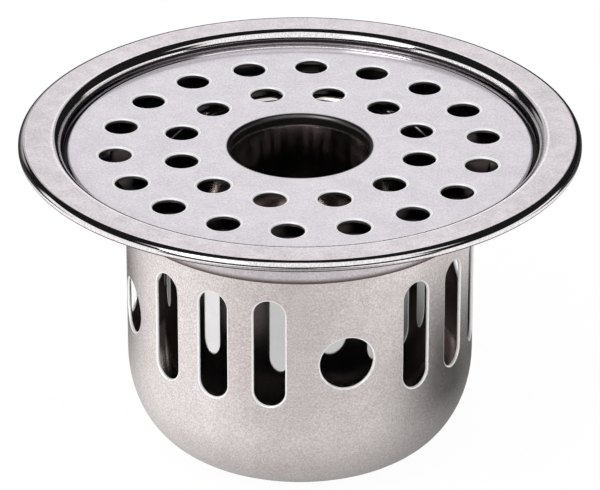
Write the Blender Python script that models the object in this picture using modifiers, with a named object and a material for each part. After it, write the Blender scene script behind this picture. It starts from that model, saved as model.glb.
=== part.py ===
"""Anti-cockroach drain grate: a pressed steel frame for a floor drain, with a grate that lifts off, a
water-seal tube that lifts out, and a slotted trap cup that locks under three lugs with a part turn.

Metres, +Z up. The origin is the centre of the cup's flat underside, on the drain's axis. The front is
at -Y. A front turn is an angle from -Y towards +X, and a back turn one from +Y towards +X.
"""

import math

import bmesh
import bpy
from mathutils import Matrix, Vector

# Overall
OVERALL_HEIGHT = 0.0745
SEAT_GAP = 0.0003
CUT_OVERRUN = 0.003
TURN_STEPS = 60
BEND_STEPS = 2

# Frame: flange, grate recess, cup seat and neck from one sheet. Diameters are of its upper or inner face
FLANGE_DIAMETER = 0.127
FRAME_SHEET = 0.0008
LIP_DROP = 0.0021
FLANGE_EDGE_RADIUS = 0.0016
RECESS_DIAMETER = 0.1078
RECESS_EDGE_RADIUS = 0.0022
RECESS_CORNER_RADIUS = 0.0012
CUP_SEAT_DIAMETER = 0.0944
CUP_SEAT_DEPTH = 0.0086
SEAT_EDGE_RADIUS = 0.001
SEAT_CORNER_RADIUS = 0.001
NECK_BORE = 0.0808
NECK_DEPTH = 0.0169
NECK_BEND_RADIUS = 0.0012

# Grate: flat disc with a collar drawn down round the hose hole
GRATE_SHEET = 0.001
GRATE_SIDE_GAP = 0.0014
GRATE_TOP_DEPTH = 0.0031
HOSE_HOLE_DIAMETER = 0.0315
COLLAR_DROP = 0.003
COLLAR_BEND_RADIUS = 0.0011
DRAIN_HOLE_DIAMETER = 0.0075
DRAIN_HOLE_SIDES = 16
OUTER_RING_COUNT = 18
OUTER_RING_DIAMETER = 0.0836
OUTER_RING_BACK_TURN = 3.6
INNER_RING_COUNT = 12
INNER_RING_DIAMETER = 0.0552
INNER_RING_BACK_TURN = 13.9

# Trap cup. Its neck gap is at its outer face, depths are from the top of the flange
CUP_SHEET = 0.0007
CUP_NECK_GAP = 0.0008
CUP_RIM_BEND_RADIUS = 0.0012
CUP_CORNER_RUN = 0.014
CUP_CORNER_RISE = 0.0205
CUP_CORNER_STEPS = 6
SLOT_GROUPS = 4
SLOTS_PER_GROUP = 3
SLOT_PITCH = 19.5
SLOT_WIDTH = 0.0072
SLOT_LENGTH = 0.0264
SLOT_TOP_DEPTH = 0.0224
SLOT_SIDES = 14
ROUND_HOLE_DIAMETER = 0.0125
ROUND_HOLE_DEPTH = 0.0383
ROUND_HOLE_SIDES = 18
ROUND_HOLE_FRONT_TURN = 15.5

# Water-seal tube. Diameters are of its outer face
TUBE_SHEET = 0.0006
TUBE_DIAMETER = 0.062
TUBE_RIM_LUG_GAP = 0.0004
TUBE_BEND_RADIUS = 0.001
TUBE_DIP = 0.009

# Rubber ring between the cup seat and the cup's rim
SEAL_THICKNESS = 0.001

# Lock lugs on the cup seat's wall, with their notches and stops in the cup's rim
LUG_COUNT = 3
LUG_FRONT_TURN = 60.0
LUG_SHEET = 0.0008
LUG_WIDTH = 0.009
LUG_REACH = 0.0024
LUG_WALL_GAP = 0.0006
UNLOCK_TURN = 25.0
NOTCH_SIDE_GAP = 0.0008
NOTCH_END_GAP = 0.0004
STOP_WIDTH = 0.0012
STOP_HEIGHT = 0.001
STOP_SUNK = 0.0003

# Heights and radii that follow from the sizes above
FLANGE_TOP = OVERALL_HEIGHT
GRATE_TOP = FLANGE_TOP - GRATE_TOP_DEPTH
LEDGE_TOP = GRATE_TOP - GRATE_SHEET - SEAT_GAP
SEAT_TOP = FLANGE_TOP - CUP_SEAT_DEPTH
SEAL_BOTTOM = SEAT_TOP + SEAT_GAP
CUP_RIM_BOTTOM = SEAL_BOTTOM + SEAL_THICKNESS + SEAT_GAP
CUP_RIM_TOP = CUP_RIM_BOTTOM + CUP_SHEET
LUG_FINGER_BOTTOM = CUP_RIM_TOP + SEAT_GAP
TUBE_RIM_BOTTOM = CUP_RIM_TOP + SEAT_GAP
LUG_BOTTOM = SEAT_TOP + SEAT_CORNER_RADIUS + SEAT_GAP
SLOT_MIDDLE = FLANGE_TOP - SLOT_TOP_DEPTH - SLOT_LENGTH / 2
TUBE_BOTTOM = FLANGE_TOP - SLOT_TOP_DEPTH - SLOT_LENGTH - TUBE_DIP
CUP_RADIUS = NECK_BORE / 2 - CUP_NECK_GAP
GRATE_RADIUS = RECESS_DIAMETER / 2 - GRATE_SIDE_GAP
LUG_FACE_RADIUS = CUP_SEAT_DIAMETER / 2 - LUG_WALL_GAP - LUG_SHEET
LUG_TIP_RADIUS = LUG_FACE_RADIUS - LUG_REACH
CUP_RIM_RADIUS = LUG_FACE_RADIUS - SEAT_GAP
TUBE_RIM_RADIUS = LUG_TIP_RADIUS - TUBE_RIM_LUG_GAP

# Finishes: colour, metallic, roughness
SATIN_STEEL = ((0.66, 0.63, 0.63, 1.0), 1.0, 0.32)
POLISHED_STEEL = ((0.74, 0.73, 0.75, 1.0), 1.0, 0.14)
MIRROR_STEEL = ((0.70, 0.69, 0.69, 1.0), 1.0, 0.06)
BLACK_RUBBER = ((0.03, 0.03, 0.03, 1.0), 0.0, 0.75)


def clear_scene():
    for obj in list(bpy.data.objects):
        bpy.data.objects.remove(obj, do_unlink=True)


def collection_named(name):
    collection = bpy.data.collections.new(name)
    bpy.context.scene.collection.children.link(collection)
    return collection


def finish_named(name, finish):
    colour, metallic, roughness = finish
    material = bpy.data.materials.new(name)
    material.use_nodes = True
    shader = material.node_tree.nodes["Principled BSDF"]
    shader.inputs["Base Color"].default_value = colour
    shader.inputs["Metallic"].default_value = metallic
    shader.inputs["Roughness"].default_value = roughness
    material.diffuse_color = colour
    return material


def object_from(shape, name, collection, material=None):
    """Turns a bmesh into a named object of the collection."""
    mesh = bpy.data.meshes.new(name)
    shape.to_mesh(mesh)
    shape.free()
    obj = bpy.data.objects.new(name, mesh)
    collection.objects.link(obj)
    if material:
        mesh.materials.append(material)
    return obj


def bend(corner, before, after, radius, steps=BEND_STEPS):
    """Points of the round of this radius that replaces a corner between two neighbouring points."""
    corner, before, after = Vector(corner), Vector(before), Vector(after)
    first = (before - corner).normalized()
    second = (after - corner).normalized()
    half_angle = first.angle(second) / 2
    setback = radius / math.tan(half_angle)
    centre = corner + (first + second).normalized() * radius / math.sin(half_angle)
    start = corner + first * setback - centre
    end = corner + second * setback - centre
    sweep = start.angle_signed(end)
    points = []
    for step in range(steps + 1):
        turned = start.copy()
        turned.rotate(Matrix.Rotation(-sweep * step / steps, 2))
        points.append(centre + turned)
    return points


def profile(corners):
    """Points (radius, height) of a line whose corners are (radius, height, bend radius)."""
    points = []
    for index, (radius, height, round_off) in enumerate(corners):
        here = (radius, height)
        if round_off == 0:
            points.append(Vector(here))
        else:
            points += bend(here, corners[index - 1][:2], corners[index + 1][:2], round_off)
    return points


def turned_sheet(name, points, sheet, collection, material):
    """A sheet-metal shell: the profile is the face that the normals leave, the sheet lies behind it."""
    shape = bmesh.new()
    corners = [shape.verts.new((radius, 0, height)) for radius, height in points]
    for first, second in zip(corners, corners[1:]):
        shape.edges.new((first, second))
    obj = object_from(shape, name, collection, material)
    turning = obj.modifiers.new("Turn", "SCREW")
    turning.axis = "Z"
    turning.steps = TURN_STEPS
    turning.render_steps = TURN_STEPS
    turning.use_merge_vertices = True
    turning.merge_threshold = 0.00001
    turning.use_smooth_shade = True
    wall = obj.modifiers.new("Sheet", "SOLIDIFY")
    wall.thickness = sheet
    wall.offset = -1
    wall.use_even_offset = True
    return obj


def front_turned(angle):
    """Rotation that carries the -Y direction by this many degrees towards +X."""
    return Matrix.Rotation(math.radians(angle), 4, "Z")


def back_turned(angle):
    """Rotation that carries the +Y direction by this many degrees towards +X."""
    return Matrix.Rotation(-math.radians(angle), 4, "Z")


def cutter_from(shape, name):
    bmesh.ops.recalc_face_normals(shape, faces=shape.faces)
    obj = object_from(shape, name, cutters)
    obj.hide_render = True
    obj.display_type = "WIRE"
    return obj


def boolean(obj, other, operation):
    modifier = obj.modifiers.new(other.name, "BOOLEAN")
    modifier.operation = operation
    modifier.solver = "EXACT"
    modifier.object = other


def add_drum(shape, diameter, height, sides, place):
    """A closed cylinder along the local Z axis, with a flat of its side facing local X."""
    turn = Matrix.Rotation(math.pi / sides - math.pi / 2, 4, "Z")
    return bmesh.ops.create_cone(
        shape,
        cap_ends=True,
        segments=sides,
        radius1=diameter / 2,
        radius2=diameter / 2,
        depth=height,
        matrix=place @ turn,
    )["verts"]


def add_block(shape, size, place):
    return bmesh.ops.create_cube(shape, size=1.0, matrix=place @ Matrix.Diagonal((*size, 1.0)))["verts"]


def make_frame():
    flange = FLANGE_DIAMETER / 2
    recess = RECESS_DIAMETER / 2
    seat = CUP_SEAT_DIAMETER / 2
    neck = NECK_BORE / 2
    points = profile(
        [
            (neck, FLANGE_TOP - NECK_DEPTH, 0),
            (neck, SEAT_TOP, NECK_BEND_RADIUS),
            (seat, SEAT_TOP, SEAT_CORNER_RADIUS),
            (seat, LEDGE_TOP, SEAT_EDGE_RADIUS),
            (recess, LEDGE_TOP, RECESS_CORNER_RADIUS),
            (recess, FLANGE_TOP, RECESS_EDGE_RADIUS),
            (flange, FLANGE_TOP, FLANGE_EDGE_RADIUS),
            (flange, FLANGE_TOP - LIP_DROP, 0),
        ]
    )
    return turned_sheet("frame", points, FRAME_SHEET, parts, finish_named("satin_frame", SATIN_STEEL))


def make_grate():
    hose = HOSE_HOLE_DIAMETER / 2
    points = profile(
        [
            (hose, GRATE_TOP - COLLAR_DROP, 0),
            (hose, GRATE_TOP, COLLAR_BEND_RADIUS),
            (GRATE_RADIUS, GRATE_TOP, 0),
        ]
    )
    grate = turned_sheet("grate", points, GRATE_SHEET, parts, finish_named("polished_grate", POLISHED_STEEL))
    holes = bmesh.new()
    rings = (
        (OUTER_RING_COUNT, OUTER_RING_DIAMETER, OUTER_RING_BACK_TURN),
        (INNER_RING_COUNT, INNER_RING_DIAMETER, INNER_RING_BACK_TURN),
    )
    for count, ring_diameter, first_turn in rings:
        for index in range(count):
            turn = back_turned(first_turn + index * 360 / count)
            place = turn @ Matrix.Translation((0, ring_diameter / 2, GRATE_TOP - GRATE_SHEET / 2))
            add_drum(holes, DRAIN_HOLE_DIAMETER, GRATE_SHEET + CUT_OVERRUN, DRAIN_HOLE_SIDES, place)
    boolean(grate, cutter_from(holes, "drain_hole_cutter"), "DIFFERENCE")
    return grate


def cup_points():
    """Outer face of the cup: under its rim, down the wall, round the corner and in to the axis."""
    points = profile(
        [
            (CUP_RIM_RADIUS, CUP_RIM_BOTTOM, 0),
            (CUP_RADIUS, CUP_RIM_BOTTOM, CUP_RIM_BEND_RADIUS),
            (CUP_RADIUS, CUP_CORNER_RISE, 0),
        ]
    )
    for step in range(1, CUP_CORNER_STEPS + 1):
        angle = math.pi / 2 * step / CUP_CORNER_STEPS
        radius = CUP_RADIUS - CUP_CORNER_RUN * (1 - math.cos(angle))
        height = CUP_CORNER_RISE * (1 - math.sin(angle))
        points.append(Vector((radius, height)))
    points.append(Vector((0, 0)))
    return points


def cup_wall_cutter():
    """Round holes and round-ended slots through the cup's wall."""
    cuts = bmesh.new()
    wall_middle = CUP_RADIUS - CUP_SHEET / 2
    depth = CUP_SHEET + CUT_OVERRUN
    along_front = Matrix.Rotation(math.pi / 2, 4, "X")
    for group in range(SLOT_GROUPS):
        group_turn = ROUND_HOLE_FRONT_TURN + group * 360 / SLOT_GROUPS
        place = front_turned(group_turn) @ Matrix.Translation((0, -wall_middle, FLANGE_TOP - ROUND_HOLE_DEPTH))
        add_drum(cuts, ROUND_HOLE_DIAMETER, depth, ROUND_HOLE_SIDES, place @ along_front)
        for index in range(SLOTS_PER_GROUP):
            from_middle = (index - (SLOTS_PER_GROUP - 1) / 2) * SLOT_PITCH
            turn = group_turn + 180 / SLOT_GROUPS + from_middle
            place = front_turned(turn) @ Matrix.Translation((0, -wall_middle, SLOT_MIDDLE))
            ends = add_drum(cuts, SLOT_WIDTH, depth, SLOT_SIDES, place @ along_front)
            half_straight = (SLOT_LENGTH - SLOT_WIDTH) / 2
            for corner in ends:
                corner.co.z += math.copysign(half_straight, corner.co.z - SLOT_MIDDLE)
    return cutter_from(cuts, "cup_wall_cutter")


def lug_turn(index):
    return LUG_FRONT_TURN + index * 360 / LUG_COUNT


def cup_notch_cutter():
    """Notches in the cup's rim that pass under the lugs once the cup is turned to unlock."""
    cuts = bmesh.new()
    inner = LUG_TIP_RADIUS - NOTCH_END_GAP
    outer = CUP_RIM_RADIUS + CUT_OVERRUN
    size = (LUG_WIDTH + 2 * NOTCH_SIDE_GAP, outer - inner, CUP_SHEET + 2 * STOP_HEIGHT)
    for index in range(LUG_COUNT):
        middle = Matrix.Translation((0, -(inner + outer) / 2, CUP_RIM_BOTTOM + CUP_SHEET / 2))
        add_block(cuts, size, front_turned(lug_turn(index) - UNLOCK_TURN) @ middle)
    return cutter_from(cuts, "cup_notch_cutter")


def cup_stops():
    """Small ribs pressed up from the cup's rim, each beside a lug, that end its turn when locked."""
    ribs = bmesh.new()
    middle_radius = (LUG_TIP_RADIUS + CUP_RIM_RADIUS) / 2
    size = (STOP_WIDTH, LUG_REACH / 2, STOP_HEIGHT + STOP_SUNK)
    sideways = LUG_WIDTH / 2 + SEAT_GAP + STOP_WIDTH / 2
    height = CUP_RIM_TOP + (STOP_HEIGHT - STOP_SUNK) / 2
    for index in range(LUG_COUNT):
        place = Matrix.Translation((sideways, -middle_radius, height))
        add_block(ribs, size, front_turned(lug_turn(index)) @ place)
    return cutter_from(ribs, "cup_stop_ribs")


def make_trap_cup():
    finish = finish_named("satin_cup", SATIN_STEEL)
    cup = turned_sheet("trap_cup", cup_points(), CUP_SHEET, parts, finish)
    boolean(cup, cup_wall_cutter(), "DIFFERENCE")
    boolean(cup, cup_notch_cutter(), "DIFFERENCE")
    boolean(cup, cup_stops(), "UNION")
    return cup


def make_water_seal_tube():
    points = profile(
        [
            (TUBE_RIM_RADIUS, TUBE_RIM_BOTTOM, 0),
            (TUBE_DIAMETER / 2, TUBE_RIM_BOTTOM, TUBE_BEND_RADIUS),
            (TUBE_DIAMETER / 2, TUBE_BOTTOM, 0),
        ]
    )
    finish = finish_named("mirror_tube", MIRROR_STEEL)
    return turned_sheet("water_seal_tube", points, TUBE_SHEET, parts, finish)


def make_seal_ring():
    inner = NECK_BORE / 2 + NECK_BEND_RADIUS + SEAT_GAP
    top = SEAL_BOTTOM + SEAL_THICKNESS
    points = [Vector((inner, top)), Vector((CUP_RIM_RADIUS, top))]
    return turned_sheet("rim_seal_ring", points, SEAL_THICKNESS, parts, finish_named("rubber_seal", BLACK_RUBBER))


def make_lock_lug(index, finish):
    """An L-bent strip: its back is welded to the cup seat's wall and its finger lies over the cup's rim."""
    line = (
        (LUG_FACE_RADIUS, LUG_BOTTOM),
        (LUG_FACE_RADIUS, LUG_FINGER_BOTTOM),
        (LUG_TIP_RADIUS, LUG_FINGER_BOTTOM),
    )
    shape = bmesh.new()
    corners = [shape.verts.new((-LUG_WIDTH / 2, -radius, height)) for radius, height in line]
    edges = [shape.edges.new(pair) for pair in zip(corners, corners[1:])]
    swept = bmesh.ops.extrude_edge_only(shape, edges=edges)["geom"]
    far_side = [item for item in swept if isinstance(item, bmesh.types.BMVert)]
    bmesh.ops.translate(shape, verts=far_side, vec=(LUG_WIDTH, 0, 0))
    bmesh.ops.recalc_face_normals(shape, faces=shape.faces)
    lug = object_from(shape, f"lock_lug_{index + 1}", parts, finish)
    lug.matrix_world = front_turned(lug_turn(index))
    wall = lug.modifiers.new("Sheet", "SOLIDIFY")
    wall.thickness = LUG_SHEET
    wall.offset = 1
    wall.use_even_offset = True
    return lug


def parent_to(holder, children):
    for child in children:
        placed = child.matrix_world.copy()
        child.parent = holder
        child.matrix_world = placed


clear_scene()
parts = collection_named("drain_grate")
cutters = collection_named("cutters")
frame = make_frame()
seal_ring = make_seal_ring()
lug_finish = finish_named("satin_lug", SATIN_STEEL)
lugs = [make_lock_lug(index, lug_finish) for index in range(LUG_COUNT)]
trap_cup = make_trap_cup()
water_seal_tube = make_water_seal_tube()
grate = make_grate()
parent_to(frame, [seal_ring, *lugs, trap_cup, water_seal_tube])
parent_to(water_seal_tube, [grate])
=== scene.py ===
"""Looks of the drain grate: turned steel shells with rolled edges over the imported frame, and a plain
white studio. Metres, +Z up, the front at -Y, the drain's axis on Z.
"""

import math

import bmesh
import bpy
from mathutils import Matrix, Vector


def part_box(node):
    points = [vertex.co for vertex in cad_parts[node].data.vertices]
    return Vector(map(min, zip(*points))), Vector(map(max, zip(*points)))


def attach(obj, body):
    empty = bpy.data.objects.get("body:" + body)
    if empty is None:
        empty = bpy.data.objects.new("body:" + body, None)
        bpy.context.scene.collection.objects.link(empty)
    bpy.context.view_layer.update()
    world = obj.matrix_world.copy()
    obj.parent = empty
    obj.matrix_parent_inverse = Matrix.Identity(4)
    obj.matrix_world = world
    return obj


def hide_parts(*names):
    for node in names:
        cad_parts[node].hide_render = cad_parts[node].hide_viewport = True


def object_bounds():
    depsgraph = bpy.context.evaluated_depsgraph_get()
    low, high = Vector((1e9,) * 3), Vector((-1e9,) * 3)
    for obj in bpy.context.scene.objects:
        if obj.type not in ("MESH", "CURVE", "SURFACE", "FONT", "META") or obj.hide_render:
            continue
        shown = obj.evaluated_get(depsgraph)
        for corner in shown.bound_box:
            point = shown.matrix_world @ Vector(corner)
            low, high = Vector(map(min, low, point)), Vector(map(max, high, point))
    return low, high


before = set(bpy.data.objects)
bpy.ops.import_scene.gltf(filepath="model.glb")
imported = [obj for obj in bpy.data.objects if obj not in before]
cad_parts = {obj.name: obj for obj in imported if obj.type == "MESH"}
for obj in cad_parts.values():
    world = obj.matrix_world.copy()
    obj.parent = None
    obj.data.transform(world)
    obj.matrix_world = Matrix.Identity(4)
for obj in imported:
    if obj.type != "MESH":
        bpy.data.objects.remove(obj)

cad_low, cad_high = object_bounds()
frame_low, frame_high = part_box("frame")
tube_low, tube_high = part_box("water_seal_tube")
grate_low, grate_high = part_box("grate")
seal_low, seal_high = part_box("rim_seal_ring")

# Fineness of the turned shells
ROUND_STEPS = 256
BEND_STEPS = 9
EDGE_STEPS = 3
HOLE_SIDES = 48
ROLL_STEPS = 7
SAME_PLACE = 0.000001

# Degrees: where a hole's roll ends, from where an edge is rounded off, and up to where it shades smooth
ROLL_END_ANGLE = 80
SHARP_ANGLE = 60
SMOOTH_ANGLE = 50
LEVEL_NORMAL = 0.99999

# How far a hole's cutter stands out of the sheet, where its flare ends and at its own end
CUTTER_OVERRUN = 0.00005
CUTTER_REACH = 0.002

# Frame, from its flange down to the neck
FLANGE_TOP = frame_high.z
FLANGE_RADIUS = frame_high.x
FRAME_SHEET = 0.0008
FLANGE_EDGE_RADIUS = 0.0016
FLANGE_SLOPE = 0.02
LIP_DROP = 0.0021
RECESS_RADIUS = 0.0539
RECESS_EDGE_RADIUS = 0.0022
RECESS_CORNER_RADIUS = 0.0012
SEAT_RADIUS = 0.0472
SEAT_DEPTH = 0.0086
SEAT_BEND_RADIUS = 0.001
NECK_RADIUS = 0.0404
NECK_BEND_RADIUS = 0.0012
SHEET_EDGE_ROUND = 0.0002

# Grate
GRATE_TOP = grate_high.z
GRATE_RADIUS = grate_high.x
GRATE_SHEET = 0.001
GRATE_EDGE_ROUND = 0.0004
HOSE_HOLE_RADIUS = 0.01575
COLLAR_BEND_RADIUS = 0.0011
DRAIN_HOLE_RADIUS = 0.00375
DRAIN_HOLE_ROLL = 0.0006
DRAIN_HOLE_LOW_ROLL = 0.0002
DRAIN_HOLE_FLATNESS = 0.5
# Depth of the holes' near-white rim, burnish and painted highlight, above the painted shade on their walls
BURNISH_AND_HIGHLIGHT_DEPTH = 0.0004
# Holes in a ring, its radius in metres, and its first hole's turn from the back in degrees
DRAIN_RINGS = (
    (18, 0.0418, 3.6),
    (12, 0.0276, 13.9),
)

# Trap cup
CUP_SHEET = 0.0007
CUP_RADIUS = 0.0396
CUP_RIM_RADIUS = 0.0455
CUP_RIM_BEND_RADIUS = 0.0012
CUP_CORNER_RUN = 0.014
CUP_CORNER_RISE = 0.0205
CUP_CORNER_STEPS = 18
WALL_HOLE_ROLL = 0.0004
WALL_HOLE_INNER_ROLL = 0.0002
SLOT_GROUPS = 4
SLOTS_PER_GROUP = 3
SLOT_PITCH = 19.5
SLOT_RADIUS = 0.0036
SLOT_LENGTH = 0.0264
SLOT_TOP_DEPTH = 0.0224
ROUND_HOLE_RADIUS = 0.00625
ROUND_HOLE_DEPTH = 0.0383
ROUND_HOLE_FRONT_TURN = 15.5

# Water-seal tube and rubber ring
TUBE_SHEET = 0.0006
TUBE_RADIUS = 0.031
TUBE_BEND_RADIUS = 0.001
SEAL_WIDTH = 0.0036

# Lock lugs, and the notches and stops in the cup's rim beside them
LUG_COUNT = 3
LUG_FRONT_TURN = 60.0
LUG_WIDTH = 0.009
LUG_TIP_RADIUS = 0.0434
UNLOCK_TURN = 25.0
NOTCH_SIDE_GAP = 0.0008
NOTCH_END_GAP = 0.0004
STOP_WIDTH = 0.0012
STOP_LENGTH = 0.0012
STOP_HEIGHT = 0.001
STOP_ROUND = 0.0003
STOP_SUNK = 0.0003
LUG_SIDE_GAP = 0.0003

# Heights that follow from the sizes above, and the gap between a piece and its seat
SEAT_GAP = 0.0003
LEDGE_TOP = GRATE_TOP - GRATE_SHEET - SEAT_GAP
LIP_BOTTOM = FLANGE_TOP - LIP_DROP


# Making shapes
def front_turned(angle):
    """Rotation that carries the -Y direction by this many degrees towards +X."""
    return Matrix.Rotation(math.radians(angle), 4, "Z")


def back_turned(angle):
    """Rotation that carries the +Y direction by this many degrees towards +X."""
    return Matrix.Rotation(-math.radians(angle), 4, "Z")


def object_from(shape, name):
    mesh = bpy.data.meshes.new(name)
    shape.to_mesh(mesh)
    shape.free()
    obj = bpy.data.objects.new(name, mesh)
    bpy.context.scene.collection.objects.link(obj)
    return obj


def add_profile(shape, corners):
    """A line in the XZ plane through (radius, height, bend radius) corners."""
    points = [shape.verts.new((radius, 0, height)) for radius, height, _ in corners]
    for first, second in zip(points, points[1:]):
        shape.edges.new((first, second))
    places = [point.co.copy() for point in points]
    for index, (_, _, bend_radius) in enumerate(corners):
        if bend_radius == 0:
            continue
        turn = (places[index] - places[index - 1]).angle(places[index + 1] - places[index])
        bmesh.ops.bevel(
            shape,
            geom=[points[index]],
            offset=bend_radius * math.tan(turn / 2),
            offset_type="OFFSET",
            segments=BEND_STEPS,
            profile=0.5,
            affect="VERTICES",
            material=-1,
            clamp_overlap=False,
        )


def turn_round(shape):
    bmesh.ops.spin(
        shape,
        geom=shape.verts[:] + shape.edges[:],
        axis=(0, 0, 1),
        cent=(0, 0, 0),
        angle=math.tau,
        steps=ROUND_STEPS,
        use_merge=True,
    )
    bmesh.ops.remove_doubles(shape, verts=shape.verts[:], dist=SAME_PLACE)


def round_sharp_edges(shape, amount):
    limit = math.radians(SHARP_ANGLE)
    sharp = [edge for edge in shape.edges if edge.is_manifold and edge.calc_face_angle() > limit]
    bmesh.ops.bevel(
        shape,
        geom=sharp,
        offset=amount,
        offset_type="OFFSET",
        segments=EDGE_STEPS,
        profile=0.5,
        affect="EDGES",
        material=-1,
        clamp_overlap=False,
    )


def face_left(shape, corners):
    """Turns the faces so that they look to the left of the line from its first corner to its next."""
    bmesh.ops.recalc_face_normals(shape, faces=shape.faces[:])
    start = Vector((corners[0][0], 0, corners[0][1]))
    travel = Vector((corners[1][0], 0, corners[1][1])) - start
    left = Vector((-travel.z, 0, travel.x))
    first = min(shape.verts, key=lambda corner: (corner.co - start).length)
    if first.link_faces[0].normal.dot(left) < 0:
        bmesh.ops.reverse_faces(shape, faces=shape.faces[:])


def turned_sheet(corners, sheet, edge_round):
    """A closed shell of sheet metal. The sheet lies to the right of the line of corners."""
    shape = bmesh.new()
    add_profile(shape, corners)
    turn_round(shape)
    face_left(shape, corners)
    bmesh.ops.solidify(shape, geom=shape.faces[:], thickness=sheet)
    round_sharp_edges(shape, edge_round)
    bmesh.ops.recalc_face_normals(shape, faces=shape.faces[:])
    return shape


def rolled_rows(low, high, low_roll, high_roll, flatness=1.0):
    """(place, growth) rows of an opening from low to high, with its two edges rolled back. A flatness
    below 1 makes each roll less deep than wide."""
    widest = math.radians(ROLL_END_ANGLE)
    rows = []
    for side, face, roll in ((-1, low, low_roll), (1, high, high_roll)):
        deep = roll * flatness
        arc = []
        for step in range(ROLL_STEPS + 1):
            turn = widest * step / ROLL_STEPS
            arc.append((face + side * deep * (math.sin(turn) - 1), roll * (1 - math.cos(turn))))
        past = CUTTER_OVERRUN + deep * (1 - math.sin(widest))
        arc.append((face + side * CUTTER_OVERRUN, arc[-1][1] + past * math.tan(widest) / flatness))
        arc.append((face + side * CUTTER_REACH, arc[-1][1]))
        rows = rows + arc if side == 1 else arc[::-1]
    return rows


def add_opening(shape, radius, half_straight, rows):
    """A closed round or slot-shaped cutter along Z. Returns its vertices."""
    rings = []
    made = []
    half_step = Matrix.Rotation(math.pi / HOLE_SIDES, 4, "Z")
    for place, growth in rows:
        ring = bmesh.ops.create_circle(
            shape,
            segments=HOLE_SIDES,
            radius=radius + growth,
            matrix=Matrix.Translation((0, 0, place)) @ half_step,
        )["verts"]
        for corner in ring:
            corner.co.y += math.copysign(half_straight, corner.co.y)
        rings.append(list({edge for corner in ring for edge in corner.link_edges}))
        made += ring
    ends = [rings[0][:], rings[-1][:]]
    for first, second in zip(rings, rings[1:]):
        bmesh.ops.bridge_loops(shape, edges=first + second)
    for end in ends:
        bmesh.ops.contextual_create(shape, geom=end)
    return made


def combined(obj, shape, operation, material=None):
    """Cuts a closed shape out of the object's mesh, or joins it to the mesh. The new faces get the
    material, where one is given."""
    bmesh.ops.recalc_face_normals(shape, faces=shape.faces[:])
    other = object_from(shape, obj.name + "_tool")
    if material:
        other.data.materials.append(material)
    step = obj.modifiers.new("Step", "BOOLEAN")
    step.operation = operation
    step.solver = "EXACT"
    step.material_mode = "TRANSFER" if material else "INDEX"
    step.object = other
    result = bpy.data.meshes.new_from_object(obj.evaluated_get(bpy.context.evaluated_depsgraph_get()))
    obj.modifiers.remove(step)
    old = obj.data
    obj.data = result
    bpy.data.meshes.remove(old)
    bpy.data.objects.remove(other)


def shade_smooth(obj):
    """Smooth shading that keeps level faces flat up to their rounded edges."""
    limit = math.radians(SMOOTH_ANGLE)
    shape = bmesh.new()
    shape.from_mesh(obj.data)
    for face in shape.faces:
        face.smooth = True
    for edge in shape.edges:
        level = [abs(face.normal.z) > LEVEL_NORMAL for face in edge.link_faces]
        edge.smooth = not (any(level) and not all(level)) and edge.calc_face_angle(0) < limit
    shape.to_mesh(obj.data)
    shape.free()
    even = obj.modifiers.new("Even", "WEIGHTED_NORMAL")
    even.mode = "FACE_AREA"
    even.keep_sharp = True


def place_piece(obj, node, body):
    shade_smooth(obj)
    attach(obj, body)
    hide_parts(node)
    return obj


# Finishes. The mirror shares are 1 for bare polished metal and less where it scatters light
SATIN_MIRROR = 0.4
RIM_MIRROR = 0.35

# Noise: scale, detail and roughness
CLOUDS = (190, 5, 0.65)
FINE_GRAIN = (2300, 3, 0.6)
HAIRLINES = (1, 4, 0.7)
HAIRLINE_STRETCH = (60, 1900, 1900)
RIM_GRAIN = (3200, 3, 0.6)
RUBBER_CLOUDS = (260, 4, 0.6)
RUBBER_GRAIN = (4200, 3, 0.6)

# Span of the noise that a tone or a roughness follows, and the depth of the grain in metres
NOISE_LOW = 0.3
NOISE_HIGH = 0.7
RUBBER_NOISE_LOW = 0.2
RUBBER_NOISE_HIGH = 0.8
STEEL_GRAIN_DEPTH = 0.00003
RUBBER_GRAIN_DEPTH = 0.00005

# Borders of the parts of a finish, in metres: half of how soft they are, and how far they lie from the
# edge or face in their name
SOFT_BORDER = 0.0001
BEND_BORDER = 0.00015
HOLE_WALL_BORDER = 0.00005
LIP_CUT_BELOW = 0.0004
LIP_CUT_ABOVE = 0.0003
LIP_CUT_WIDTH = 0.001
NECK_SHADE_HEIGHT = 0.0009
NECK_SHADE_BORDER = 0.0007
POLISH_PAST_BENDS = 0.00005
POLISH_BELOW_LEDGE = 0.00015
# Painted shade in the gap round the grate, and a painted dark reflection line on the wall above it
SHADE_PAST_WALL = 0.00025
SHADE_BELOW_LEDGE = 0.0009
SHADE_ABOVE_LEDGE = 0.0004
DARK_LINE_LOW = 0.0005
DARK_LINE_HIGH = 0.0013
INNER_SHADE_BELOW_LEDGE = 0.0003
WET_BELOW_TUBE = 0.002
WET_BORDER = 0.001
COLLAR_WIDTH = 0.00085
COLLAR_END_HEIGHT = 0.0005

# How far a face looks inwards, up or down where such a part starts and where it is full
INNER_START = 0.25
INNER_FULL = 0.4
UNDERSIDE_START = -0.4
UNDERSIDE_FULL = -0.7


class Nodes:
    """Adds nodes to a tree and joins them by the names of their sockets."""

    def __init__(self, tree):
        self.tree = tree

    def add(self, kind, settings=None, **values):
        made = self.tree.nodes.new(kind)
        for name, value in (settings or {}).items():
            setattr(made, name, value)
        for name, value in values.items():
            self.set(made, name.replace("_", " "), value)
        return made

    def set(self, made, name, value):
        socket = made.inputs[int(name)] if name.isdigit() else made.inputs[name]
        if isinstance(value, bpy.types.NodeSocket):
            self.tree.links.new(value, socket)
        else:
            socket.default_value = value


def math_node(nodes, operation, first, second=0.0):
    made = nodes.add("ShaderNodeMath", {"operation": operation})
    nodes.set(made, "0", first)
    nodes.set(made, "1", second)
    return made.outputs[0]


def product(nodes, *shares):
    """All the shares multiplied together."""
    result = shares[-1]
    for share in reversed(shares[:-1]):
        result = math_node(nodes, "MULTIPLY", share, result)
    return result


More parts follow.
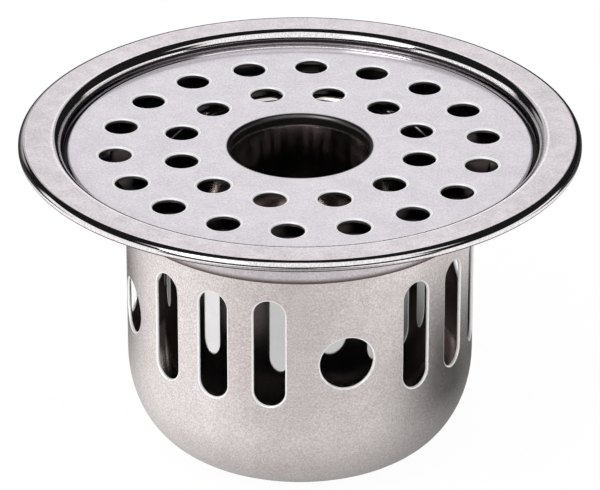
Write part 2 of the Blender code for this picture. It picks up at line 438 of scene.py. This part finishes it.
def ranged(nodes, value, low, high, to_low, to_high):
    """to_low up to the low limit, to_high from the high limit on, and a soft change between them."""
    made = nodes.add("ShaderNodeMapRange", {"interpolation_type": "SMOOTHSTEP"}, Value=value)
    for name, number in (("From Min", low), ("From Max", high), ("To Min", to_low), ("To Max", to_high)):
        nodes.set(made, name, number)
    return made.outputs[0]


def above(nodes, value, limit, soft=SOFT_BORDER):
    return ranged(nodes, value, limit - soft, limit + soft, 0.0, 1.0)


def below(nodes, value, limit, soft=SOFT_BORDER):
    return ranged(nodes, value, limit - soft, limit + soft, 1.0, 0.0)


def between(nodes, value, low, high, soft=SOFT_BORDER):
    """1 where a value lies between two limits, with soft borders."""
    return product(nodes, above(nodes, value, low, soft), below(nodes, value, high, soft))


def mixed_colour(nodes, factor, first, second, blend="MIX"):
    made = nodes.add("ShaderNodeMix", {"data_type": "RGBA", "blend_type": blend})
    nodes.set(made, "0", factor)
    nodes.set(made, "6", first)
    nodes.set(made, "7", second)
    return made.outputs[2]


def noise(nodes, place, scale, detail, rough):
    made = nodes.add("ShaderNodeTexNoise", {"noise_dimensions": "3D"}, Vector=place, Scale=scale)
    nodes.set(made, "Detail", detail)
    nodes.set(made, "Roughness", rough)
    return made.outputs[0]


def new_material(name):
    material = bpy.data.materials.new(name)
    material.use_nodes = True
    shader = material.node_tree.nodes["Principled BSDF"]
    return material, Nodes(material.node_tree), shader


def object_place(nodes, stretch=(1, 1, 1)):
    place = nodes.add("ShaderNodeTexCoord").outputs["Object"]
    mapping = nodes.add("ShaderNodeMapping", Vector=place)
    nodes.set(mapping, "Scale", stretch)
    return mapping.outputs[0]


def height_of(nodes):
    place = nodes.add("ShaderNodeTexCoord").outputs["Object"]
    return nodes.add("ShaderNodeSeparateXYZ", Vector=place).outputs["Z"]


def radius_of(nodes):
    """Distance from the drain's axis."""
    place = nodes.add("ShaderNodeTexCoord").outputs["Object"]
    level = nodes.add("ShaderNodeVectorMath", {"operation": "MULTIPLY"}, Vector=place)
    nodes.set(level, "1", (1, 1, 0))
    length = nodes.add("ShaderNodeVectorMath", {"operation": "LENGTH"}, Vector=level.outputs[0])
    return length.outputs["Value"]


def inner_side(nodes):
    """1 on faces that look up or towards the drain's axis, 0 on the faces outside."""
    coordinates = nodes.add("ShaderNodeTexCoord")
    place = coordinates.outputs["Object"]
    outward = nodes.add("ShaderNodeVectorMath", {"operation": "MULTIPLY"}, Vector=place)
    nodes.set(outward, "1", (1, 1, 0))
    unit = nodes.add("ShaderNodeVectorMath", {"operation": "NORMALIZE"}, Vector=outward.outputs[0])
    facing = nodes.add("ShaderNodeVectorMath", {"operation": "DOT_PRODUCT"}, Vector=unit.outputs[0])
    nodes.set(facing, "1", coordinates.outputs["Normal"])
    inwards = math_node(nodes, "MULTIPLY", facing.outputs["Value"], -1.0)
    upwards = nodes.add("ShaderNodeSeparateXYZ", Vector=coordinates.outputs["Normal"]).outputs["Z"]
    more = math_node(nodes, "MAXIMUM", inwards, upwards)
    return ranged(nodes, more, INNER_START, INNER_FULL, 0.0, 1.0)


def cut_edge_and_shade(nodes):
    """1 on the cut edge under the flange's lip, painted near black: partly the darker sheared edge, partly
    painted shade under the lip.
    """
    lip_end = between(nodes, height_of(nodes), LIP_BOTTOM - LIP_CUT_BELOW, LIP_BOTTOM + LIP_CUT_ABOVE)
    return product(nodes, lip_end, above(nodes, radius_of(nodes), FLANGE_RADIUS - LIP_CUT_WIDTH))


def shaded_neck_end(nodes):
    """1 at the neck's lower end, painted brownish dark as the shade in the gap above the cup."""
    return below(nodes, height_of(nodes), frame_low.z + NECK_SHADE_HEIGHT, NECK_SHADE_BORDER)


def polished_bends(nodes):
    """1 on the flange's rolled edge and on the wall of the recess."""
    radius = radius_of(nodes)
    flat_start = RECESS_RADIUS + RECESS_EDGE_RADIUS
    flat_end = FLANGE_RADIUS - FLANGE_EDGE_RADIUS
    recess = below(nodes, radius, flat_start + POLISH_PAST_BENDS, BEND_BORDER)
    edge = above(nodes, radius, flat_end - POLISH_PAST_BENDS, BEND_BORDER)
    upper = above(nodes, height_of(nodes), LEDGE_TOP - POLISH_BELOW_LEDGE, BEND_BORDER)
    return product(nodes, upper, math_node(nodes, "MAXIMUM", recess, edge))


def painted_shade_round_grate(nodes):
    """1 in the narrow gap round the grate and on a line of the wall above it: painted shade in the gap and
    a painted dark reflection on the wall.
    """
    height = height_of(nodes)
    inside = below(nodes, radius_of(nodes), RECESS_RADIUS + SHADE_PAST_WALL, BEND_BORDER)
    gap = between(nodes, height, LEDGE_TOP - SHADE_BELOW_LEDGE, LEDGE_TOP + SHADE_ABOVE_LEDGE)
    line = between(nodes, height, GRATE_TOP + DARK_LINE_LOW, GRATE_TOP + DARK_LINE_HIGH)
    return product(nodes, inside, math_node(nodes, "MAXIMUM", gap, line))


def painted_shade_under_grate(nodes):
    """1 on the frame's inner faces under the grate, which are painted dark as shade."""
    low = below(nodes, height_of(nodes), LEDGE_TOP - INNER_SHADE_BELOW_LEDGE)
    return product(nodes, low, inner_side(nodes))


def wet_bottom(nodes):
    """1 on the cup's inner faces below the tube, which water keeps clean."""
    low = below(nodes, height_of(nodes), tube_low.z - WET_BELOW_TUBE, WET_BORDER)
    return product(nodes, low, inner_side(nodes))


def shaded_collar(nodes):
    """1 on the collar drawn down round the hose hole, which is painted dark as the shade inside the hole.
    """
    return below(nodes, radius_of(nodes), HOSE_HOLE_RADIUS + COLLAR_WIDTH, BEND_BORDER)


def painted_shade_below(nodes):
    """1 on faces that look down, which are painted dark as shade."""
    facing = nodes.add("ShaderNodeTexCoord").outputs["Normal"]
    upwards = nodes.add("ShaderNodeSeparateXYZ", Vector=facing).outputs["Z"]
    return ranged(nodes, upwards, UNDERSIDE_FULL, UNDERSIDE_START, 1.0, 0.0)


def painted_glint_collar_end(nodes):
    """1 on the cut edge at the collar's lower end, painted near white as a highlight."""
    return below(nodes, height_of(nodes), grate_low.z + COLLAR_END_HEIGHT)


def shaded_hole_wall(nodes):
    """1 on the walls of the grate's holes, below their near-white edge, where the cut is painted dark as
    shade.
    """
    return below(nodes, height_of(nodes), GRATE_TOP - BURNISH_AND_HIGHLIGHT_DEPTH, HOLE_WALL_BORDER)


def sheet_steel(name, light, dark, roughness, spread, grain, speckle, parts=(), slope=0, mirror=1.0):
    """Pressed steel with soft clouding, fine grain and hairline scratches. Each of its parts, such as a
    painted shade inside or a cut edge, has its own colour and roughness. A slope makes level faces look as
    if they fell a little towards their outer edge. A mirror share below 1 scatters light outside the
    parts, as finely scratched steel does."""
    material, nodes, shader = new_material(name)
    place = object_place(nodes)
    clouds = noise(nodes, place, *CLOUDS)
    fine = noise(nodes, place, *FINE_GRAIN)
    hair = noise(nodes, object_place(nodes, HAIRLINE_STRETCH), *HAIRLINES)
    colour = mixed_colour(nodes, ranged(nodes, clouds, NOISE_LOW, NOISE_HIGH, 0.0, 1.0), dark, light)
    rough = ranged(nodes, clouds, NOISE_LOW, NOISE_HIGH, roughness + spread, roughness - spread)
    metal = mirror
    for part_colour, part_roughness, share in parts:
        amount = share(nodes)
        colour = mixed_colour(nodes, amount, colour, part_colour)
        change = math_node(nodes, "SUBTRACT", part_roughness, rough)
        rough = math_node(nodes, "ADD", rough, product(nodes, amount, change))
        if mirror < 1:
            metal = math_node(nodes, "MAXIMUM", metal, amount)
    grey = ranged(nodes, fine, NOISE_LOW, NOISE_HIGH, 1 - speckle, 1.0)
    speckled = nodes.add("ShaderNodeCombineColor", Red=grey, Green=grey, Blue=grey)
    nodes.set(shader, "Base Color", mixed_colour(nodes, 1.0, colour, speckled.outputs[0], "MULTIPLY"))
    nodes.set(shader, "Roughness", rough)
    height = math_node(nodes, "ADD", fine, hair)
    bump = nodes.add("ShaderNodeBump", Height=height, Strength=grain, Distance=STEEL_GRAIN_DEPTH)
    if slope:
        fall = product(nodes, radius_of(nodes), -slope)
        dish = nodes.add("ShaderNodeBump", Height=fall, Strength=1.0, Distance=1.0)
        nodes.set(bump, "Normal", dish.outputs[0])
    nodes.set(shader, "Normal", bump.outputs[0])
    nodes.set(shader, "Metallic", metal)
    return material


def satin_frame():
    parts = (
        ((0.97, 0.93, 0.95, 1), 0.06, polished_bends),
        # Painted shade in the gap round the grate and a painted dark reflection line on the recess wall
        ((0.05, 0.045, 0.045, 1), 0.45, painted_shade_round_grate),
        # Painted shade on the frame's inner faces under the grate
        ((0.2, 0.18, 0.18, 1), 0.3, painted_shade_under_grate),
        # Near black under the lip: partly the sheared edge, partly painted shade
        ((0.05, 0.04, 0.04, 1), 0.45, cut_edge_and_shade),
        # Painted shade at the neck's lower end
        ((0.17, 0.125, 0.115, 1), 0.4, shaded_neck_end),
    )
    return sheet_steel(
        "satin_frame",
        light=(0.76, 0.70, 0.733, 1),
        dark=(0.67, 0.612, 0.645, 1),
        roughness=0.18,
        spread=0.04,
        grain=0.1,
        speckle=0.26,
        parts=parts,
        slope=FLANGE_SLOPE,
        mirror=SATIN_MIRROR,
    )


def satin_cup():
    parts = (
        # Inner faces painted dark: painted shade inside the cup
        ((0.22, 0.19, 0.19, 1), 0.3, inner_side),
        ((0.78, 0.72, 0.70, 1), 0.1, wet_bottom),
    )
    return sheet_steel(
        "satin_cup",
        light=(0.94, 0.87, 0.86, 1),
        dark=(0.87, 0.795, 0.785, 1),
        roughness=0.25,
        spread=0.04,
        grain=0.14,
        speckle=0.28,
        parts=parts,
    )


def satin_lug():
    return sheet_steel(
        "satin_lug",
        light=(0.26, 0.24, 0.24, 1),
        dark=(0.18, 0.17, 0.17, 1),
        roughness=0.34,
        spread=0.06,
        grain=0.15,
        speckle=0.1,
    )


def polished_grate():
    parts = (
        # Painted shade on the grate's underside
        ((0.2, 0.18, 0.18, 1), 0.35, painted_shade_below),
        # Painted shade on the collar inside the hose hole
        ((0.12, 0.11, 0.11, 1), 0.35, shaded_collar),
        # Painted highlight on the collar's lower edge
        ((0.95, 0.93, 0.92, 1), 0.3, painted_glint_collar_end),
    )
    return sheet_steel(
        "polished_grate",
        light=(0.71, 0.668, 0.718, 1),
        dark=(0.65, 0.61, 0.66, 1),
        roughness=0.14,
        spread=0.03,
        grain=0.08,
        speckle=0.22,
        parts=parts,
        mirror=SATIN_MIRROR,
    )


def mirror_tube():
    # Inner faces painted a little darker: painted shade inside the tube
    parts = (((0.66, 0.62, 0.61, 1), 0.07, inner_side),)
    return sheet_steel(
        "mirror_tube",
        light=(0.80, 0.79, 0.79, 1),
        dark=(0.76, 0.75, 0.75, 1),
        roughness=0.05,
        spread=0.015,
        grain=0.02,
        speckle=0.02,
        parts=parts,
    )


def rim_burnish_and_highlight(name, shaded=None):
    """The burnished edge of a punched opening, painted near white: partly its real burnish, partly a
    painted highlight that scatters light from all sides. The shaded part of its cut is painted dark as
    shade."""
    dull = (0.90, 0.89, 0.90, 1)
    bright = (0.99, 0.98, 0.99, 1)
    # Painted shade on the shaded part of the cut
    shaded_cut = (0.04, 0.037, 0.036, 1)
    smoothest, roughest = 0.34, 0.44
    material, nodes, shader = new_material(name)
    fine = noise(nodes, object_place(nodes), *RIM_GRAIN)
    colour = mixed_colour(nodes, fine, dull, bright)
    if shaded:
        colour = mixed_colour(nodes, shaded(nodes), colour, shaded_cut)
    nodes.set(shader, "Base Color", colour)
    nodes.set(shader, "Roughness", ranged(nodes, fine, NOISE_LOW, NOISE_HIGH, smoothest, roughest))
    nodes.set(shader, "Metallic", RIM_MIRROR)
    return material


def rubber_seal():
    black = (0.018, 0.018, 0.019, 1)
    worn = (0.045, 0.044, 0.043, 1)
    smoothest, roughest = 0.62, 0.82
    material, nodes, shader = new_material("rubber_seal")
    clouds = noise(nodes, object_place(nodes), *RUBBER_CLOUDS)
    fine = noise(nodes, object_place(nodes), *RUBBER_GRAIN)
    nodes.set(shader, "Base Color", mixed_colour(nodes, clouds, black, worn))
    rough = ranged(nodes, fine, RUBBER_NOISE_LOW, RUBBER_NOISE_HIGH, smoothest, roughest)
    nodes.set(shader, "Roughness", rough)
    bump = nodes.add("ShaderNodeBump", Height=fine, Strength=0.3, Distance=RUBBER_GRAIN_DEPTH)
    nodes.set(shader, "Normal", bump.outputs[0])
    return material


# Pieces
def make_frame():
    corners = (
        (NECK_RADIUS, frame_low.z, 0),
        (NECK_RADIUS, FLANGE_TOP - SEAT_DEPTH, NECK_BEND_RADIUS),
        (SEAT_RADIUS, FLANGE_TOP - SEAT_DEPTH, SEAT_BEND_RADIUS),
        (SEAT_RADIUS, LEDGE_TOP, SEAT_BEND_RADIUS),
        (RECESS_RADIUS, LEDGE_TOP, RECESS_CORNER_RADIUS),
        (RECESS_RADIUS, FLANGE_TOP, RECESS_EDGE_RADIUS),
        (FLANGE_RADIUS, FLANGE_TOP, FLANGE_EDGE_RADIUS),
        (FLANGE_RADIUS, LIP_BOTTOM, 0),
    )
    shell = object_from(turned_sheet(corners, FRAME_SHEET, SHEET_EDGE_ROUND), "pressed_frame")
    shell.data.materials.append(satin_frame())
    return place_piece(shell, "frame", "frame_body")


def make_grate():
    corners = (
        (HOSE_HOLE_RADIUS, grate_low.z, 0),
        (HOSE_HOLE_RADIUS, GRATE_TOP, COLLAR_BEND_RADIUS),
        (GRATE_RADIUS, GRATE_TOP, 0),
    )
    disc = object_from(turned_sheet(corners, GRATE_SHEET, GRATE_EDGE_ROUND), "holed_grate")
    disc.data.materials.append(polished_grate())
    holes = bmesh.new()
    rows = rolled_rows(
        GRATE_TOP - GRATE_SHEET,
        GRATE_TOP,
        DRAIN_HOLE_LOW_ROLL,
        DRAIN_HOLE_ROLL,
        DRAIN_HOLE_FLATNESS,
    )
    for count, ring_radius, first_turn in DRAIN_RINGS:
        for index in range(count):
            made = add_opening(holes, DRAIN_HOLE_RADIUS, 0, rows)
            place = back_turned(first_turn + index * 360 / count) @ Matrix.Translation((0, ring_radius, 0))
            bmesh.ops.transform(holes, matrix=place, verts=made)
    # Near-white hole rims, burnish and painted highlight, with painted shade on the hole walls
    combined(disc, holes, "DIFFERENCE", rim_burnish_and_highlight("hole_rim", shaded_hole_wall))
    return place_piece(disc, "grate", "grate_body")


def add_wall_opening(shape, radius, half_straight, height, front_turn):
    """A cutter through the cup's round wall, its rows wrapped round the drain's axis."""
    rows = rolled_rows(CUP_RADIUS - CUP_SHEET, CUP_RADIUS, WALL_HOLE_INNER_ROLL, WALL_HOLE_ROLL)
    made = add_opening(shape, radius, half_straight, rows)
    for corner in made:
        along, up, from_axis = corner.co
        turn = math.radians(front_turn) + along / CUP_RADIUS
        corner.co = Vector((from_axis * math.sin(turn), -from_axis * math.cos(turn), height + up))


def cup_corners():
    corners = [
        (CUP_RIM_RADIUS, cup_rim_bottom(), 0),
        (CUP_RADIUS, cup_rim_bottom(), CUP_RIM_BEND_RADIUS),
        (CUP_RADIUS, CUP_CORNER_RISE, 0),
    ]
    for step in range(1, CUP_CORNER_STEPS + 1):
        angle = math.pi / 2 * step / CUP_CORNER_STEPS
        radius = CUP_RADIUS - CUP_CORNER_RUN * (1 - math.cos(angle))
        corners.append((radius, CUP_CORNER_RISE * (1 - math.sin(angle)), 0))
    corners.append((0, 0, 0))
    return corners


def cup_rim_bottom():
    return seal_high.z + SEAT_GAP


def cup_wall_openings():
    openings = bmesh.new()
    slot_middle = FLANGE_TOP - SLOT_TOP_DEPTH - SLOT_LENGTH / 2
    for group in range(SLOT_GROUPS):
        group_turn = ROUND_HOLE_FRONT_TURN + group * 360 / SLOT_GROUPS
        add_wall_opening(openings, ROUND_HOLE_RADIUS, 0, FLANGE_TOP - ROUND_HOLE_DEPTH, group_turn)
        for index in range(SLOTS_PER_GROUP):
            turn = group_turn + 180 / SLOT_GROUPS + (index - (SLOTS_PER_GROUP - 1) / 2) * SLOT_PITCH
            add_wall_opening(openings, SLOT_RADIUS, SLOT_LENGTH / 2 - SLOT_RADIUS, slot_middle, turn)
    return openings


def lug_turn(index):
    return LUG_FRONT_TURN + index * 360 / LUG_COUNT


def rim_notches():
    notches = bmesh.new()
    inner = LUG_TIP_RADIUS - NOTCH_END_GAP
    outer = CUP_RIM_RADIUS + STOP_LENGTH
    size = (LUG_WIDTH + 2 * NOTCH_SIDE_GAP, outer - inner, CUP_SHEET + 2 * STOP_HEIGHT, 1.0)
    for index in range(LUG_COUNT):
        place = Matrix.Translation((0, -(inner + outer) / 2, cup_rim_bottom() + CUP_SHEET / 2))
        turned = front_turned(lug_turn(index) - UNLOCK_TURN) @ place @ Matrix.Diagonal(size)
        bmesh.ops.create_cube(notches, size=1.0, matrix=turned)
    return notches


def rim_stops():
    stops = bmesh.new()
    middle_radius = (LUG_TIP_RADIUS + CUP_RIM_RADIUS) / 2
    sideways = LUG_WIDTH / 2 + LUG_SIDE_GAP + STOP_WIDTH / 2
    height = cup_rim_bottom() + CUP_SHEET + (STOP_HEIGHT - STOP_SUNK) / 2
    size = (STOP_WIDTH, STOP_LENGTH, STOP_HEIGHT + STOP_SUNK, 1.0)
    for index in range(LUG_COUNT):
        place = front_turned(lug_turn(index)) @ Matrix.Translation((sideways, -middle_radius, height))
        bmesh.ops.create_cube(stops, size=1.0, matrix=place @ Matrix.Diagonal(size))
    round_sharp_edges(stops, STOP_ROUND)
    return stops


def make_trap_cup():
    cup = object_from(turned_sheet(cup_corners(), CUP_SHEET, SHEET_EDGE_ROUND), "slotted_cup")
    cup.data.materials.append(satin_cup())
    # Near-white slot rims: burnish and painted highlight
    combined(cup, cup_wall_openings(), "DIFFERENCE", rim_burnish_and_highlight("slot_rim"))
    combined(cup, rim_notches(), "DIFFERENCE")
    combined(cup, rim_stops(), "UNION")
    return place_piece(cup, "trap_cup", "cup_body")


def make_tube():
    rim_bottom = tube_high.z - TUBE_SHEET
    corners = (
        (tube_high.x, rim_bottom, 0),
        (TUBE_RADIUS, rim_bottom, TUBE_BEND_RADIUS),
        (TUBE_RADIUS, tube_low.z, 0),
    )
    tube = object_from(turned_sheet(corners, TUBE_SHEET, SHEET_EDGE_ROUND), "polished_tube")
    tube.data.materials.append(mirror_tube())
    return place_piece(tube, "water_seal_tube", "tube_body")


def make_seal():
    corners = (
        (seal_high.x - SEAL_WIDTH, seal_high.z, 0),
        (seal_high.x, seal_high.z, 0),
    )
    ring = object_from(turned_sheet(corners, seal_high.z - seal_low.z, SHEET_EDGE_ROUND), "rubber_ring")
    ring.data.materials.append(rubber_seal())
    return place_piece(ring, "rim_seal_ring", "frame_body")


def finish_lugs():
    finish = satin_lug()
    for index in range(LUG_COUNT):
        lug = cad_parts[f"lock_lug_{index + 1}"]
        for slot in lug.material_slots:
            slot.material = finish


# Studio
CAMERA_PLACE = (0, -0.95497, 0.5421)
CAMERA_TILT = 62.55
CAMERA_LENS = 283.1
CAMERA_SENSOR = 36
CAMERA_NEAR = 0.05
CAMERA_FAR = 50
KEY_LIGHT_PLACE = (-0.9, -0.9, 1.3)
KEY_LIGHT_SIZE = 0.9
KEY_LIGHT_POWER = 12

# Floor, in metres from the drain's axis. A fade is (from, to, tone before, tone after)
FLOOR_RADIUS = 4.0
FLOOR_SIDES = 64
FLOOR_DROP = 0.0003
FLOOR_WHITE = 0.93
FLOOR_ROUGHNESS = 0.9
SHEET_END_FADE = (0.09, 0.13, 1.0, 0.04)
AXIS_PLACE = (0, 0, 0)
NEAR_FADE = (0.1, 0.17, 0.75, 1.0)
LIT_PLACE = (-0.08, -0.015, 0)
LIT_FADE = (0.04, 0.09, 1.0, 0.75)
AHEAD_FADE = (-0.3, -0.04, 0.75, 0.0)
SIDEWAYS_FADE = (0.1, 0.2, 1.0, 0.0)
# Middle of a shade, where it starts to fade, how far it reaches, and its darkest tone
FLOOR_SHADES = (
    ((0.078, 0, 0), 0.005, 0.08, 0.1),
    ((0.05, 0.05, 0), 0.005, 0.05, 0.2),
    ((-0.05, 0.07, 0), 0.005, 0.09, 0.15),
    (AXIS_PLACE, 0.02, 0.06, 0.6),
)
FLOOR_GLOW = 0.965
FLOOR_GLOW_IN_METAL = 0.7

# Room, in degrees above the horizon (rise) and from the back towards +X (sweep). A zone is (low, high,
# softness) and a fade is (from, to, tone before, tone after). The overhead light's end at the back is
# given by the y part of the direction instead
BOARD_RISE = (14, 36, 2)
BOARD_SWEEP = (-22, 15, 3)
BOARD_FADE = (2.5, 7, 1.0, 0.55)
CORNER_FADE = (-6, 16, 0.08, 0.42)
CORNER_SWEEP = (-40, -8, 4)
LEFT_TOP_FADE = (18, 24, 1.0, 0.0)
LEFT_SWEEP = (-125, -60, 5)
RIGHT_TOP_FADE = (10, 15, 1.0, 0.0)
RIGHT_SWEEP = (60, 125, 5)
WINDOW_BOTTOM_FADE = (16, 22, 0.0, 1.0)
WINDOW_SIDE_FADE = (120, 135, 0.0, 1.0)
OVERHEAD_FADE = (40, 50, 0.0, 1.0)
OVERHEAD_BACK_FADE = (-0.16, -0.06, 1.0, 0.0)
DARKEST_WALL = 0.01


def make_camera():
    camera = bpy.data.objects.new("photo_camera", bpy.data.cameras.new("photo_camera"))
    bpy.context.scene.collection.objects.link(camera)
    camera.location = CAMERA_PLACE
    camera.rotation_euler = (math.radians(CAMERA_TILT), 0, 0)
    camera.data.lens = CAMERA_LENS
    camera.data.sensor_width = CAMERA_SENSOR
    camera.data.clip_start = CAMERA_NEAR
    camera.data.clip_end = CAMERA_FAR
    bpy.context.scene.camera = camera


def floor_in_metal(nodes):
    """Tone of the floor in what metal reflects: a white sheet that ends behind the object, with the
    shade round the object, a lit place at its left and a dim place in front of it."""
    place = object_place(nodes)
    axes = nodes.add("ShaderNodeSeparateXYZ", Vector=place)
    across, away = axes.outputs["X"], axes.outputs["Y"]

    def spot(middle, start, reach, inner, outer):
        distance = nodes.add("ShaderNodeVectorMath", {"operation": "DISTANCE"}, Vector=place)
        nodes.set(distance, "1", middle)
        return ranged(nodes, distance.outputs["Value"], start, reach, inner, outer)

    near = math_node(nodes, "MAXIMUM", spot(AXIS_PLACE, *NEAR_FADE), spot(LIT_PLACE, *LIT_FADE))
    lit = product(nodes, ranged(nodes, away, *SHEET_END_FADE), near)
    for middle, start, reach, darkest in FLOOR_SHADES:
        lit = product(nodes, lit, spot(middle, start, reach, darkest, 1.0))
    sideways = math_node(nodes, "ABSOLUTE", across)
    dimmed = product(nodes, ranged(nodes, away, *AHEAD_FADE), ranged(nodes, sideways, *SIDEWAYS_FADE))
    return product(nodes, lit, math_node(nodes, "SUBTRACT", 1.0, dimmed))


def floor_white():
    """White for the camera, with the object's shadow, and the toned floor in what metal reflects."""
    material, nodes, shader = new_material("floor_white")
    path = nodes.add("ShaderNodeLightPath")
    glossy = path.outputs["Is Glossy Ray"]
    missing = math_node(nodes, "SUBTRACT", 1.0, floor_in_metal(nodes))
    tone = math_node(nodes, "SUBTRACT", 1.0, product(nodes, missing, glossy))
    white = product(nodes, tone, FLOOR_WHITE)
    grey = nodes.add("ShaderNodeCombineColor", Red=white, Green=white, Blue=white)
    nodes.set(shader, "Base Color", grey.outputs[0])
    nodes.set(shader, "Roughness", FLOOR_ROUGHNESS)
    glow = nodes.add("ShaderNodeEmission", Color=(1, 1, 1, 1), Strength=tone)
    direct = math_node(nodes, "ADD", path.outputs["Is Camera Ray"], path.outputs["Is Transmission Ray"])
    shown = product(nodes, direct, FLOOR_GLOW)
    share = math_node(nodes, "ADD", shown, product(nodes, glossy, FLOOR_GLOW_IN_METAL))
    mix = nodes.add("ShaderNodeMixShader")
    nodes.set(mix, "0", share)
    nodes.set(mix, "1", shader.outputs[0])
    nodes.set(mix, "2", glow.outputs[0])
    output = next(node for node in material.node_tree.nodes if node.type == "OUTPUT_MATERIAL")
    nodes.set(output, "Surface", mix.outputs[0])
    return material


def make_floor():
    shape = bmesh.new()
    bmesh.ops.create_circle(shape, cap_ends=True, segments=FLOOR_SIDES, radius=FLOOR_RADIUS)
    bmesh.ops.translate(shape, verts=shape.verts[:], vec=(0, 0, cad_low.z - FLOOR_DROP))
    floor = object_from(shape, "studio_floor")
    floor.data.materials.append(floor_white())


def make_world():
    """A room for what metal reflects: a light board low behind the object, lit walls low at its sides, a
    broad window in front of it and light overhead, with dark walls between them. Everything else gets
    even white light from it."""
    world = bpy.data.worlds.new("studio")
    bpy.context.scene.world = world
    world.use_nodes = True
    nodes = Nodes(world.node_tree)
    background = world.node_tree.nodes["Background"]
    direction = nodes.add("ShaderNodeTexCoord").outputs["Generated"]
    axes = nodes.add("ShaderNodeSeparateXYZ", Vector=direction)
    rise = math_node(nodes, "DEGREES", math_node(nodes, "ARCSINE", axes.outputs["Z"]))
    sweep = math_node(nodes, "DEGREES", math_node(nodes, "ARCTAN2", axes.outputs["X"], axes.outputs["Y"]))
    from_back = math_node(nodes, "ABSOLUTE", sweep)
    board = product(
        nodes,
        between(nodes, rise, *BOARD_RISE),
        between(nodes, sweep, *BOARD_SWEEP),
        ranged(nodes, from_back, *BOARD_FADE),
    )
    left_corner = product(
        nodes,
        ranged(nodes, rise, *CORNER_FADE),
        ranged(nodes, rise, *LEFT_TOP_FADE),
        between(nodes, sweep, *CORNER_SWEEP),
    )
    left_side = product(nodes, ranged(nodes, rise, *LEFT_TOP_FADE), between(nodes, sweep, *LEFT_SWEEP))
    right_side = product(nodes, ranged(nodes, rise, *RIGHT_TOP_FADE), between(nodes, sweep, *RIGHT_SWEEP))
    window = product(
        nodes,
        ranged(nodes, rise, *WINDOW_BOTTOM_FADE),
        ranged(nodes, from_back, *WINDOW_SIDE_FADE),
    )
    overhead = product(
        nodes,
        ranged(nodes, rise, *OVERHEAD_FADE),
        ranged(nodes, axes.outputs["Y"], *OVERHEAD_BACK_FADE),
    )
    bright = overhead
    for lit in (board, left_corner, left_side, right_side, window):
        bright = math_node(nodes, "MAXIMUM", bright, lit)
    path = nodes.add("ShaderNodeLightPath")
    glossy = path.outputs["Is Glossy Ray"]
    reflected = product(nodes, ranged(nodes, bright, 0.0, 1.0, DARKEST_WALL, 1.0), glossy)
    plain = math_node(nodes, "SUBTRACT", 1.0, glossy)
    nodes.set(background, "Strength", math_node(nodes, "ADD", plain, reflected))
    nodes.set(background, "Color", (1, 1, 1, 1))


def make_key_light():
    """A soft round light that faces the object."""
    data = bpy.data.lights.new("key_light", "AREA")
    data.shape = "DISK"
    data.size = KEY_LIGHT_SIZE
    data.energy = KEY_LIGHT_POWER
    light = bpy.data.objects.new("key_light", data)
    bpy.context.scene.collection.objects.link(light)
    light.location = KEY_LIGHT_PLACE
    light.rotation_euler = (-Vector(KEY_LIGHT_PLACE)).to_track_quat("-Z", "Y").to_euler()


make_frame()
make_seal()
finish_lugs()
make_trap_cup()
make_tube()
make_grate()
make_camera()
make_floor()
make_world()
make_key_light()
bpy.context.scene.view_settings.view_transform = "Standard"
